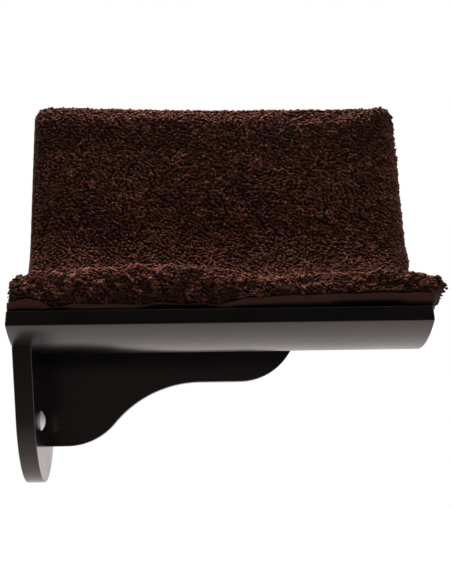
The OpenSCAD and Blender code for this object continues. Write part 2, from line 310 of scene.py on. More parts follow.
class Tree:
    """A short way to add nodes and links to a node tree."""

    def __init__(self, tree):
        self.tree = tree

    def feed(self, node, inputs):
        """Gives a node's inputs their values, or links them to other sockets."""
        for key, value in inputs.items():
            if isinstance(value, bpy.types.NodeSocket):
                self.tree.links.new(value, node.inputs[key])
            else:
                node.inputs[key].default_value = value
        return node

    def add(self, kind, inputs=None, **settings):
        """A new node with its settings and inputs."""
        made = self.tree.nodes.new(kind)
        for key, value in settings.items():
            setattr(made, key, value)
        return self.feed(made, inputs or {})

    def math(self, operation, a, b):
        return self.add("ShaderNodeMath", {0: a, 1: b}, operation=operation).outputs[0]

    def mix(self, share, a, b, blend="MIX"):
        made = self.add("ShaderNodeMix", {0: share, 6: a, 7: b}, data_type="RGBA", blend_type=blend)
        return made.outputs[2]

    def span(self, value, low, high, to_low, to_high):
        """Maps a value's range onto another."""
        ends = {"From Min": low, "From Max": high, "To Min": to_low, "To Max": to_high}
        return self.add("ShaderNodeMapRange", {"Value": value, **ends}).outputs[0]

    def mix_shader(self, share, a, b):
        return self.add("ShaderNodeMixShader", {0: share, 1: a, 2: b}).outputs[0]


def rgba(rgb, share=1.0):
    """A colour socket's value from a plain colour, made lighter or darker by a share."""
    return tuple(min(c * share, 1) for c in rgb) + (1,)


def drift_group():
    """The node group of slow and fine drifts over a surface, for colour, roughness and bump."""
    if "Drift" in bpy.data.node_groups:
        return bpy.data.node_groups["Drift"]
    group = bpy.data.node_groups.new("Drift", "ShaderNodeTree")
    for label in ("Vector", "Slow scale", "Fine scale", "Slow", "Fine"):
        way = "OUTPUT" if label in ("Slow", "Fine") else "INPUT"
        kind = "NodeSocketVector" if label == "Vector" else "NodeSocketFloat"
        group.interface.new_socket(label, in_out=way, socket_type=kind)
    tree = Tree(group)
    given, out = tree.add("NodeGroupInput").outputs, tree.add("NodeGroupOutput")
    for label, detail in (("Slow", 4.0), ("Fine", 2.0)):
        kind = {"Scale": given[label + " scale"], "Detail": detail, "Roughness": 0.55}
        texture = tree.add("ShaderNodeTexNoise", {"Vector": given["Vector"], **kind})
        tree.feed(out, {label: tree.span(texture.outputs[0], 0.3, 0.7, 0.0, 1.0)})
    return group


class Finish(Tree):
    """A new material, with its Object coordinates and its slow and fine drifts."""

    def __init__(self, name, slow_scale, fine_scale):
        self.material = bpy.data.materials.new(name)
        self.material.use_nodes = True
        super().__init__(self.material.node_tree)
        self.place = self.add("ShaderNodeTexCoord").outputs["Object"]
        given = {"Vector": self.place, "Slow scale": slow_scale, "Fine scale": fine_scale}
        drift = self.add("ShaderNodeGroup", given, node_tree=drift_group()).outputs
        self.slow, self.fine = drift["Slow"], drift["Fine"]

    def value(self, name):
        """The values that a mesh keeps for its points under a name."""
        return self.add("ShaderNodeAttribute", attribute_name=name).outputs["Fac"]

    def made(self, colour, roughness, bump=None, **more):
        """Feeds the Principled shader and returns the material; a bump is (height, strength, distance)."""
        shader = self.tree.nodes["Principled BSDF"]
        self.feed(shader, {"Base Color": colour, "Roughness": roughness})
        self.feed(shader, {key.replace("_", " "): value for key, value in more.items()})
        if bump:
            height = self.add("ShaderNodeBump", dict(zip(("Height", "Strength", "Distance"), bump)))
            self.feed(shader, {"Normal": height.outputs[0]})
        return self.material


def plain_material(name, scales, tone, dark, rough, bump=None, rough_by="fine", **more):
    """A plain finish: its colour drifts to a darker share of itself, and its roughness between two values."""
    plain = Finish(name, *scales)
    return plain.made(
        plain.mix(plain.slow, rgba(tone, dark), rgba(tone)),
        plain.span(getattr(plain, rough_by), 0, 1, *rough),
        bump=bump and (plain.fine, *bump),
        **more,
    )


def paint_material(name, tone, dull):
    """Satin black paint, with a faint orange peel and the odd dull patch."""
    gloss = {"IOR": 1.56, "Specular_Tint": PAINT_TINT}
    return plain_material(name, (14, 520), tone, 0.75, (dull, dull + 0.06), (0.06, 0.2 * MM), "slow", **gloss)


def nickel_material(tone):
    """Satin nickel, with a fine grain."""
    return plain_material(
        "satin_nickel", (120, 1500), tone, 0.9, (0.36, 0.46), (0.05, 0.1 * MM), Metallic=0.12
    )


def zinc_material(tone):
    """Bright zinc plating, with a faint cloudy passivation."""
    return plain_material("zinc_plate", (240, 1800), tone, 0.8, (0.28, 0.42), Metallic=1.0)


def beech_material(tone):
    """Beech, with short dark flecks along the dowel."""
    beech = Finish("beech_wood", 160.0, 900.0)
    stretch = beech.add("ShaderNodeMapping", {"Vector": beech.place, "Scale": (60.0, 900.0, 900.0)})
    noise_inputs = {"Vector": stretch.outputs[0], "Scale": 1.0, "Detail": 3.0}
    fleck = beech.add("ShaderNodeTexNoise", noise_inputs).outputs[0]
    return beech.made(
        beech.mix(beech.span(fleck, 0.35, 0.65, 0, 1), rgba(tone, 0.72), rgba(tone)),
        beech.span(beech.fine, 0, 1, 0.55, 0.7),
        bump=(fleck, 0.2, 0.1 * MM),
    )


def tape_material(name, tone, cell_scale, depth):
    """Hook or loop tape: a close field of tiny stems or loops, darker between them and lighter at their tops,
    which is painted shade by height.
    """
    tape = Finish(name, 60.0, 1200.0)
    cells = tape.add("ShaderNodeTexVoronoi", {"Vector": tape.place, "Scale": cell_scale, "Randomness": 0.6})
    rise = tape.span(cells.outputs["Distance"], 0, 0.6, 1, 0)
    return tape.made(
        tape.mix(rise, rgba(tone, 0.45), rgba(tone, 1.5)),
        tape.span(tape.fine, 0, 1, 0.5, 0.8),
        bump=(rise, 0.8, depth),
    )


def lining_material(tone):
    """Smooth knitted lining, with fine ribs, and nearly black painted shade on its underside and the lower
    part of its turned-up front, which stands in for the shadow in the gap above the rim.
    """
    knit = Finish("lining_knit", 30.0, 700.0)
    wave = {"Vector": knit.place, "Scale": 260.0, "Distortion": 1.5, "Detail": 2.0}
    ribs = knit.math("MULTIPLY", knit.add("ShaderNodeTexWave", wave).outputs["Fac"], knit.fine)
    cloth = knit.mix(ribs, rgba(tone, 0.65), rgba(tone, 1.35))
    return knit.made(
        # The nearly black colour here is painted shade: the shadow in the gap above the rim.
        knit.mix(knit.value("gap_shade"), cloth, rgba(tone, 0.08)),
        knit.span(knit.slow, 0, 1, 0.62, 0.8),
        bump=(ribs, 0.35, 0.3 * MM),
        Specular_IOR_Level=0.2,
        Sheen_Weight=0.05,
        Sheen_Roughness=0.45,
    )


def fleece_material(tip, root):
    """Curly fleece: darker between the nubs and lighter at their tips, which is painted shade by height, and
    each nub a little its own shade, which holds random tone and painted light and shade.
    """
    pile = Finish("brown_fleece", 26.0, 1100.0)
    light = pile.mix(pile.value("shade"), rgba(tip, 0.4), rgba(tip, 1.6))
    toned = pile.mix(1.0, light, pile.mix(pile.slow, *FLEECE_PATCH), blend="MULTIPLY")
    # Darker towards each nub's root: painted shade by height.
    height = pile.span(pile.value("tip"), 0.35, 0.95, 0, 1)
    height = pile.math("MULTIPLY", height, pile.span(pile.fine, 0, 1, 0.7, 1.0))
    return pile.made(
        pile.mix(height, rgba(root), toned),
        pile.span(pile.fine, 0, 1, 0.75, 0.95),
        bump=(pile.fine, 0.5, 0.6 * MM),
        Sheen_Weight=0.16,
        Sheen_Roughness=0.5,
        Sheen_Tint=FLEECE_SHEEN,
        Specular_IOR_Level=0.12,
    )


# The pad's form

WALL_GAP = 0.8 * MM  # between the wall and the pad
ROLL_FULL = 13 * MM  # extra thickness of the front roll near the wall
ROLL_DROP = 21.5 * MM  # what it loses further out
ROLL_DROP_AT = (180 * MM, 95 * MM)  # start and run, along the shelf
ROLL_RISE = 12.5 * MM  # what it gains towards its free end
ROLL_RISE_AT = (355 * MM, 50 * MM)
EDGE_LEVEL = 0.4  # where the upper and lower skins meet, as a share of the thickness
END_LEVEL = 0.14  # the same at the roll's free end
TOP_ROUND = 17 * MM  # round of the upper skin's edge
FRONT_ROUND = 11 * MM  # the same along the front
FRONT_DEPTH = 40 * MM  # how far in from the front it turns into the other
END_ROUND = 22 * MM  # what the round gains at the roll's free end
END_RUN = 38 * MM  # reach of the roll's free end along the shelf
END_DEPTH = 70 * MM  # the same in from the front
LOW_ROUND = 9 * MM  # round of the lower skin's edge
WALL_DROP = 0.3  # share of the roll's thickness that is lost at the wall
WALL_SLOPE = 35 * MM
BACK_DROP = 0.03  # the same of the back's
BACK_ROUND = 32 * MM
FREE_CORNER = 11 * MM
WALL_CORNER = 13 * MM
REACH_STOPS = (12, 38, 150, 240)  # where the free end's reach changes, in mm from the lip
PAD_GRID = (110, 120)

FLAP_STOPS = (  # (place along the shelf, height of the lining's turned-up front), in mm
    (0, 4.5), (10, 6.5), (22, 8.5), (35, 6), (44, 1.5), (58, 1.5), (66, 2.5), (130, 2.5), (148, 1), (205, 1),
    (220, 2), (245, 5), (268, 7), (335, 7.5), (378, 7.5), (412, 9), (445, 9),
)
FLAP_WAVE = 0.8 * MM
FLAP_WAVE_RUNS = (9 * MM, 31 * MM)
LIFT_STOPS = (  # (place along the shelf, lift of the pad's front edge), in mm
    (0, 0), (36, 0), (46, 2.2), (56, 2.2), (66, 0.3), (130, 0.3), (150, 4.5), (200, 4.5),
    (215, 0.6), (325, 0.6), (345, 2.6), (390, 2.6), (408, 0), (445, 0),
)
LIFT_DEPTH = 40 * MM
END_LIFT = 18 * MM
END_LIFT_START, END_LIFT_RUN = 2 * MM, 14 * MM  # before the shelf's end, and along it
SETTLE = 2.4 * MM  # how far the lining sinks behind the rim
SETTLE_DEPTH = 25 * MM
SETTLE_LIFT = 1.5 * MM  # a front edge that lifts this far doesn't let it sink

HELD_FRONT = 8 * MM  # the cloth is held this far in from the front,
HELD_FLAP = 2 * MM  # this far above the lining there,
HELD_LOW = 4 * MM  # this far above the panel elsewhere,
HELD_WALL = 2 * MM  # and this far from the pad's end at the wall
CLOTH_FRAMES = 20
CLOTH = {
    "quality": 5, "mass": 0.3, "use_pressure": True, "uniform_pressure_force": 4, "vertex_group_mass": "held",
    "tension_stiffness": 12, "compression_stiffness": 12, "shear_stiffness": 5, "bending_stiffness": 0.5,
}


def face_arc(boards):
    """The radius of the panel's inner face in its bend, and the bend's length there."""
    inner_r = boards.bend_r - boards.panel_t
    return inner_r, inner_r * (boards.lip_slope + boards.back_slope)


def face_length(boards):
    """Length of the panel's inner face."""
    return face_arc(boards)[1] + boards.back_run


def face_point(boards, along, rise):
    """Points (y, z) at lengths along the panel's inner face and heights above it."""
    inner_r, arc_l = face_arc(boards)
    turn = np.clip(along, 0, arc_l) / inner_r - boards.lip_slope
    run = np.where(along < 0, along, np.maximum(along - arc_l, 0))
    y = boards.bend_y + (inner_r - rise) * np.sin(turn) + run * np.cos(turn)
    z = boards.bend_z - (inner_r - rise) * np.cos(turn) + run * np.sin(turn)
    return y, z


def face_place(boards, places):
    """Lengths along the panel's inner face and heights above it, from points."""
    inner_r = face_arc(boards)[0]
    dy, dz = places[:, 1] - boards.bend_y, places[:, 2] - boards.bend_z
    turn = np.clip(np.arctan2(dy, -dz), -boards.lip_slope, boards.back_slope)
    run = dy * np.cos(turn) + dz * np.sin(turn)
    bent = (turn > -boards.lip_slope) & (turn < boards.back_slope)
    along = (turn + boards.lip_slope) * inner_r + np.where(bent, 0, run)
    return along, inner_r - (dy * np.sin(turn) - dz * np.cos(turn))


def smooth_step(t):
    """A soft step from 0 to 1."""
    t = np.clip(t, 0, 1)
    return t * t * (3 - 2 * t)


def ramp(value, start, run):
    """A soft step from 0 at a start to 1 after a run."""
    return smooth_step((value - start) / run)


def quarter_round(t):
    """The rise of a quarter round, from 0 at its edge to 1."""
    return np.sqrt(np.maximum(1 - (1 - np.clip(t, 0, 1)) ** 2, 0))


def at_stops(x, stops):
    """Values at places along the shelf, between stops of (place, value) in mm."""
    places, values = np.array(stops).T * MM
    return np.interp(x, places, values)


def flap_height(x):
    """How far the lining comes up round the pad's front, along the shelf."""
    first, second = FLAP_WAVE_RUNS
    return at_stops(x, FLAP_STOPS) + FLAP_WAVE * np.sin(x / first) * np.sin(x / second)


def edge_lift(boards, x, along):
    """How far the pad's front edge and its free end curl up off the panel."""
    end = END_LIFT * smooth_step((x - boards.shelf_length + END_LIFT_START) / END_LIFT_RUN)
    return (at_stops(x, LIFT_STOPS) + end) * (1 - smooth_step(along / LIFT_DEPTH))


def lining_settle(x, along):
    """How far the lining sinks onto the panel behind the rim, where the front edge doesn't curl up."""
    flat = np.clip(1 - at_stops(x, LIFT_STOPS) / SETTLE_LIFT, 0, 1)
    return SETTLE * flat * (1 - smooth_step(along / SETTLE_DEPTH))


def pad_thickness(pad, x, across):
    """Thickness of the pad: the front roll is full near the wall, drops, and fills out to its free end."""
    roll = ROLL_FULL - ROLL_DROP * ramp(x, *ROLL_DROP_AT)
    roll = roll + ROLL_RISE * ramp(x, *ROLL_RISE_AT)
    return pad.thickness + pad.crown * (1 - across**2) + roll * np.maximum(-across, 0) ** 2


def rounded_corner(radius, first, second):
    """How far points move to round a corner, and how far in they lie, from their distances to its edges."""
    near = np.maximum(radius - first, 0), np.maximum(radius - second, 0)
    out = np.hypot(*near)
    both = (near[0] > 0) & (near[1] > 0)
    pull = np.where(both & (out > radius), 1 - radius / np.maximum(out, 1e-9), 0)
    return near[0] * pull, near[1] * pull, np.where(both, radius - np.minimum(out, radius), np.inf)


def pad_outline(boards, pad, u, v):
    """Points on the pad's plan from places of -1 to 1 both ways, and their distance in from its edge."""
    start, end = -pad.lip_over, face_length(boards) + pad.top_over
    along = start + (end - start) * (1 + v) / 2
    stops = np.append(np.array(REACH_STOPS) * MM, end)
    reach = np.interp(along, stops, (pad.lip_end, pad.seat_end, pad.seat_end, pad.bend_end, pad.top_end))
    x = WALL_GAP + (reach - WALL_GAP) * (1 + u) / 2
    free, side, wall = reach - x, np.minimum(along - start, end - along), x - WALL_GAP
    inward = np.where(along - start < end - along, 1, -1)
    pull_x, pull_along, inset = rounded_corner(FREE_CORNER, free, side)
    x, along = x - pull_x, along + inward * pull_along
    edge = np.minimum(np.minimum(free, side), inset)
    top = np.where(v > 0, end - along, 1.0)
    pull_x, pull_along, inset = rounded_corner(WALL_CORNER, wall, top)
    return x + pull_x, along - pull_along, np.maximum(np.minimum(edge, inset), 0)


def pad_points(boards, pad, u, v, upper):
    """Points of the pad's upper or lower skin."""
    x, along, edge = pad_outline(boards, pad, u, v)
    front_drop = WALL_DROP * v**2 * np.exp(-(x - WALL_GAP) / WALL_SLOPE)
    back_drop = BACK_DROP * (1 - quarter_round((x - WALL_GAP) / BACK_ROUND))
    full = pad_thickness(pad, x, v) * (1 - np.where(v < 0, front_drop, back_drop))
    free = smooth_step((x - boards.shelf_length + END_RUN) / END_RUN) * (1 - smooth_step(along / END_DEPTH))
    meet = EDGE_LEVEL + (END_LEVEL - EDGE_LEVEL) * free
    if upper:
        top_round = FRONT_ROUND + (TOP_ROUND - FRONT_ROUND) * smooth_step(along / FRONT_DEPTH)
        level = meet + (1 - meet) * quarter_round(edge / (top_round + END_ROUND * free))
    else:
        level = meet * (1 - quarter_round(edge / LOW_ROUND))
    lift = edge_lift(boards, x, along)
    return np.stack([x, *face_point(boards, along, pad.pad_low + lift + (full - lift) * level)], 1)


def eased_grid(bm, columns, rows):
    """A grid's vertices, and their places from -1 to 1 both ways, closer together towards its edges."""
    made = bmesh.ops.create_grid(bm, x_segments=columns, y_segments=rows, size=1)["verts"]
    flat = np.array([v.co for v in made])
    return made, np.sin(flat[:, 0] * math.pi / 2), np.sin(flat[:, 1] * math.pi / 2)


def move_to(verts, points):
    """Moves vertices to points."""
    for vert, co in zip(verts, points):
        vert.co = co


def inflate(obj, boards, pad):
    """Cloth under pressure, held where the pad rests on the panel and the wall, and capped."""
    rest = vertex_places(obj.data)
    x = rest[:, 0]
    along, rise = face_place(boards, rest)
    low = edge_lift(boards, x, along) + np.where(along < HELD_FRONT, flap_height(x) + HELD_FLAP, HELD_LOW)
    held = np.nonzero((rise < pad.pad_low + low) | (x < WALL_GAP + HELD_WALL))[0]
    obj.vertex_groups.new(name=CLOTH["vertex_group_mass"]).add([int(i) for i in held], 1.0, "REPLACE")
    cloth = obj.modifiers.new("Cloth", "CLOTH")
    for key, value in CLOTH.items():
        setattr(cloth.settings, key, value)
    cloth.settings.effector_weights.gravity = 0
    cloth.collision_settings.use_collision = False
    scene = bpy.context.scene
    for step in range(1, CLOTH_FRAMES + 1):
        scene.frame_set(step)
    moved = vertex_places(applied(obj)) - rest
    scene.frame_set(1)
    obj.modifiers.remove(cloth)
    obj.vertex_groups.clear()
    far = np.linalg.norm(moved, axis=1, keepdims=True)
    moved *= np.minimum(1, pad.cap / np.maximum(far, 1e-9))
    obj.data.vertices.foreach_set("co", (rest + moved).ravel())
    obj.data.update()


# The pile

NUB_KINDS = 24
NUB_ROUGH = 0.25  # how far a nub's points stray
NUB_LEAN = 0.5  # how far its tip leans over
NUB_STRETCH = (0.78, 1.22)
MATTED_MIX = (-0.5, 0.45)  # how far the sizes of matted nubs differ
PILE_SLANT = math.radians(-35)
SWIRL_SCALE, SWIRL, SWIRL_MIX = 16, 1.4, 0.45  # noise scale, turn and scatter of the pile's lie
TILT_MIX = 0.2
WALL_CLEAR = 0.1 * MM
TRIES = 5  # points tried for each that fits


def noise_at(points, scale):
    """Smooth noise at points."""
    return np.array([noise.noise(Vector(p) * scale) for p in points])


def unit(vectors):
    """Vectors of length 1."""
    return vectors / np.linalg.norm(vectors, axis=1, keepdims=True)


def nub_shapes(rng):
    """Nubs of the pile as points over the same faces, and their heights: lumps, none quite round."""
    bm = bmesh.new()
    bmesh.ops.create_uvsphere(bm, u_segments=6, v_segments=4, radius=1)
    bm.verts.index_update()
    ball = np.array([v.co for v in bm.verts])
    faces = [[v.index for v in f.verts] for f in bm.faces]
    bm.free()
    height = (ball[:, 2] + 1) / 2
    kinds = ball + rng.normal(0, NUB_ROUGH, (NUB_KINDS, *ball.shape))
    kinds[..., 0] += NUB_LEAN * height**2
    return kinds, faces, height


def scattered(mesh, pitch, rng, wanted):
    """Points spread evenly over the wanted part of a mesh, none closer than the pitch, with their normals."""
    mesh.calc_loop_triangles()
    count = len(mesh.loop_triangles)
    corner = np.empty(count * 3, int)
    mesh.loop_triangles.foreach_get("vertices", corner)
    co = vertex_places(mesh)[corner.reshape(-1, 3)]
    cross = np.cross(co[:, 1] - co[:, 0], co[:, 2] - co[:, 0])
    area = np.linalg.norm(cross, axis=1) / 2
    tries = int(area.sum() / pitch**2 * TRIES)
    pick = rng.choice(count, tries, p=area / area.sum())
    a, b = np.sqrt(rng.random(tries)), rng.random(tries)
    weights = np.stack([1 - a, a * (1 - b), a * b], 1)
    points = (co[pick] * weights[:, :, None]).sum(1)
    normals = cross[pick] / (2 * area[pick, None])
    own = wanted(points)
    points, normals = points[own], normals[own]
    cells, kept = {}, []
    around = [(i, j, k) for i in (-1, 0, 1) for j in (-1, 0, 1) for k in (-1, 0, 1)]
    for index, (i, j, k) in enumerate(np.floor(points / pitch).astype(int).tolist()):
        close = [n for di, dj, dk in around for n in cells.get((i + di, j + dj, k + dk), ())]
        if all(((points[n] - points[index]) ** 2).sum() >= pitch**2 for n in close):
            cells.setdefault((i, j, k), []).append(index)
            kept.append(index)
    return points[kept], normals[kept]


def pile_mesh(name, points, normals, sizes, shades, matted, rng):
    """A mesh of nubs, turned with the pile's slant and each its own way, of mixed sizes where matted."""
    kinds, faces, heights = nub_shapes(rng)
    count, size = len(points), len(heights)
    shape = kinds[rng.integers(NUB_KINDS, size=count)]
    swirl = PILE_SLANT + noise_at(points, SWIRL_SCALE) * SWIRL + rng.normal(0, SWIRL_MIX, count)
    up = unit(normals + rng.normal(0, TILT_MIX, (count, 3)))
    side = unit(np.cross(up, np.array([1.0, 0.0, 0.0]) + 1e-3))
    lean = np.cross(side, up) * np.cos(swirl)[:, None] + side * np.sin(swirl)[:, None]
    across = np.cross(up, lean)
    scale = sizes * rng.uniform(*NUB_STRETCH, (count, 3))
    local = shape * (scale * (1 + matted * rng.uniform(*MATTED_MIX, count))[:, None])[:, None, :]
    co = points[:, None] + local[..., :1] * lean[:, None]
    co = co + local[..., 1:2] * across[:, None] + local[..., 2:] * up[:, None]
    co[..., 0] = np.maximum(co[..., 0], WALL_CLEAR)
    mesh = bpy.data.meshes.new(name)
    mesh.vertices.add(count * size)
    mesh.vertices.foreach_set("co", co.ravel())
    corners = np.concatenate([np.array(f) for f in faces])
    starts = np.cumsum([0] + [len(f) for f in faces[:-1]])
    shift = np.arange(count)[:, None]
    mesh.loops.add(count * len(corners))
    mesh.loops.foreach_set("vertex_index", (corners[None] + shift * size).ravel())
    mesh.polygons.add(count * len(faces))
    mesh.polygons.foreach_set("loop_start", (starts[None] + shift * len(corners)).ravel())
    mesh.update(calc_edges=True)
    shade_smooth(mesh)
    point_values(mesh, "tip", np.tile(heights, count))
    point_values(mesh, "shade", np.repeat(shades, size))
    mesh.validate()
    return mesh


# Operators

LAMPS = (  # name, place, aim, size in m, power in W
    ("overhead_softbox", (0.15, 0.5, 1.3), (0.2, 0.0, 0.1), 0.8, 64.0),
    ("front_fill", (0.4, -0.9, 1.9), (0.2, 0.0, 0.2), 1.2, 9.0),
)
CAMERA_PLACE = (0.1888, -1.4063, -0.0358)
CAMERA_TURN = (2.683, 0.922, -1.395)  # degrees, applied as YXZ to a level view along +Y
CAMERA_LENS, CAMERA_SHIFT = 77.15, 0.1712
FLOOR_HALF, FLOOR_Z = 8, -0.5
FLOOR_GREY = (0.6, 0.6, 0.6, 1)
FLOOR_GLOW = 0.8  # lifts the floor to white for the camera
FLOOR_MIRROR = (1, 0.935, 0.925, 1)  # what the paint mirrors of the floor
ROOM_LIGHT = (1, 0.93, 0.94, 1)
WHITE = (1, 1, 1, 1)


class CATSHELF_OT_stage(bpy.types.Operator):
    """Make the floor, the room's light and the camera"""

    bl_idname = "catshelf.stage"
    bl_label = "Stage"

    def execute(self, context):
        scene = context.scene
        scene.view_settings.view_transform = "Standard"
        self.floor()
        self.room(scene)
        for name, place, aim, size, power in LAMPS:
            data = bpy.data.lights.new(name, "AREA")
            data.energy, data.size = power, size
            lamp = bpy.data.objects.new(name, data)
            lamp.location = place
            lamp.rotation_euler = (Vector(aim) - Vector(place)).to_track_quat("-Z", "Y").to_euler()
            lamp.visible_glossy = False
            scene.collection.objects.link(lamp)
        camera = bpy.data.objects.new("camera", bpy.data.cameras.new("camera"))
        camera.data.lens, camera.data.shift_y = CAMERA_LENS, CAMERA_SHIFT
        turn = Euler([math.radians(d) for d in CAMERA_TURN], "YXZ").to_matrix().to_4x4()
        level = Matrix.Rotation(math.pi / 2, 4, "X")
        camera.matrix_world = Matrix.Translation(CAMERA_PLACE) @ turn @ level
        scene.collection.objects.link(camera)
        scene.camera = camera
        return {"FINISHED"}

    def floor(self):
        """A floor that is white to the camera, and in the paint's gloss brighter beyond the shelf."""
        bm = bmesh.new()
        place = Matrix.Translation((0, 0, FLOOR_Z))
        bmesh.ops.create_grid(bm, x_segments=1, y_segments=1, size=FLOOR_HALF, matrix=place)
        floor = from_bmesh("floor", bm)
        material = bpy.data.materials.new("pale_floor")
        material.use_nodes = True
        tree = Tree(material.node_tree)
        path = tree.add("ShaderNodeLightPath").outputs
        glow = tree.math("MULTIPLY", path["Is Camera Ray"], FLOOR_GLOW)
        plain = {"Base Color": FLOOR_GREY, "Roughness": 0.9, "Specular IOR Level": 0.0}
        plain.update({"Emission Color": WHITE, "Emission Strength": glow})
        shader = tree.feed(tree.tree.nodes["Principled BSDF"], plain)
        object_place = tree.add("ShaderNodeTexCoord").outputs["Object"]
        across = tree.add("ShaderNodeSeparateXYZ", {"Vector": object_place}).outputs["Y"]
        shine = tree.math("POWER", tree.span(across, -1.3, 0.0, 0.1, 1.0), 2.0)
        mirrored = tree.add("ShaderNodeEmission", {"Color": FLOOR_MIRROR, "Strength": shine})
        mix = tree.mix_shader(path["Is Glossy Ray"], shader.outputs[0], mirrored.outputs[0])
        tree.feed(tree.tree.nodes["Material Output"], {"Surface": mix})
        floor.data.materials.append(material)

    def room(self, scene):
        """A room that is white to the camera, and lights the shelf from beyond it."""
        scene.world = bpy.data.worlds.new("studio")
        scene.world.use_nodes = True
        tree = Tree(scene.world.node_tree)
        tree.tree.nodes.clear()
        toward = tree.add("ShaderNodeTexCoord").outputs["Generated"]
        parts = tree.add("ShaderNodeSeparateXYZ", {"Vector": toward}).outputs
        far = tree.span(parts["Y"], -0.35, 0.15, 0.015, 1.0)
        level = tree.span(tree.math("ABSOLUTE", parts["Z"], 0.0), 0.1, 0.5, 0.15, 0.0)
        strength = tree.math("MAXIMUM", far, level)
        light = tree.add("ShaderNodeBackground", {"Color": ROOM_LIGHT, "Strength": strength})
        white = tree.add("ShaderNodeBackground", {"Color": WHITE, "Strength": 1.0})
        seen = tree.add("ShaderNodeLightPath").outputs["Is Camera Ray"]
        mix = tree.mix_shader(seen, light.outputs[0], white.outputs[0])
        tree.add("ShaderNodeOutputWorld", {"Surface": mix})


HEAD_R = 4.1 * MM  # pocket of a screw's head
HEAD_H = 3.0 * MM
HEAD_PLAY = 0.1 * MM
SHANK_R = 2.1 * MM
SCREW_HALF = 6 * MM  # no other screw of a row lies this close
ROW_MIN = 20 * MM  # the least length of a row of screws
WALL_HOLE_R = 2.75 * MM
POCKET_R, POCKET_DEPTH = 6 * MM, 11 * MM  # under a cover
PAST = 1 * MM  # how far a drill goes past a face, at least
PANEL_DRILL, PLATE_DRILL = 20 * MM, 8 * MM  # from the floor of a head's pocket out past the face


def screw_holes(node, count, axis, out, pocket):
    """The holes of a CAD node's row of screws: each head's pocket, out past the face, and its shank's."""
    co = vertex_places(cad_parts[node].data)
    row = next(a for a in range(3) if a != axis and np.ptp(co[:, a]) > ROW_MIN)
    first, last = co[:, row].min(), co[:, row].max()
    pitch = (last - first - 2 * (HEAD_R - HEAD_PLAY)) / max(count - 1, 1)
    holes = []
    for i in range(count):
        middle = first + HEAD_R - HEAD_PLAY + i * pitch
        own = co[np.abs(co[:, row] - middle) < SCREW_HALF]
        ends = own.min(0), own.max(0)
        head, way = (ends[0] + ends[1]) / 2, np.zeros(3)
        head[axis], way[axis] = ends[out > 0][axis], out
        holes.append((head - way * HEAD_H, way, HEAD_R, pocket))
        holes.append((head, -way, SHANK_R, ends[1][axis] - ends[0][axis]))
    return holes


def wall_holes(plate_t):
    """The plate's holes for the wall screws, each with its pocket under a cover."""
    holes = []
    for _, node, _ in COVERS:
        low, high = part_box(node)
        y = (low.y + high.y) / 2
        holes.append(((-PAST, y, 0), (1, 0, 0), WALL_HOLE_R, plate_t + 2 * PAST))
        holes.append(((plate_t - POCKET_DEPTH, y, 0), (1, 0, 0), POCKET_R, POCKET_DEPTH + 3 * PAST))
    return holes


class CATSHELF_OT_panel(bpy.types.Operator):
    """Make the bent plywood panel"""

    bl_idname = "catshelf.panel"
    bl_label = "Bent panel"

    def execute(self, context):
        boards, colours = context.scene.catshelf_boards, context.scene.catshelf_colours
        bm = bmesh.new()
        sine, cosine = math.sin(-boards.lip_slope), math.cos(-boards.lip_slope)
        outer, inner = boards.bend_r, boards.bend_r - boards.panel_t
        corners = ((0, outer), (boards.shelf_length, outer), (boards.shelf_length, inner), (0, inner))
        lip = bm.faces.new(
            [bm.verts.new((x, boards.bend_y + r * sine, boards.bend_z - r * cosine)) for x, r in corners]
        )
        geom, centre = [lip, *lip.edges, *lip.verts], (0, boards.bend_y, boards.bend_z)
        turn = boards.lip_slope + boards.back_slope
        turned = bmesh.ops.spin(bm, geom=geom, cent=centre, axis=(1, 0, 0), angle=turn, steps=64)
        last = only(turned["geom_last"], bmesh.types.BMFace)[0]
        run = Vector((0, math.cos(boards.back_slope), math.sin(boards.back_slope))) * boards.back_run
        extrude_face(bm, last, run)
        bmesh.ops.delete(bm, geom=[last] if last.is_valid else [], context="FACES")
        fill_holes(bm, 4)
        round_edges(bm, boards.edge_r)
        panel = from_bmesh("bent_panel", bm)
        holes = screw_holes("gusset_screws", 3, 2, 1, PANEL_DRILL)
        drill(panel, holes + screw_holes("shoulder_screws", 2, 2, 1, PANEL_DRILL))
        # the darker copy of the black paint: painted shade
        paint = paint_material("satin_black_paint_shaded", colours.panel_paint_shaded, PANEL_DULL)
        finish_board(panel, paint, "seat_panel")
        return {"FINISHED"}


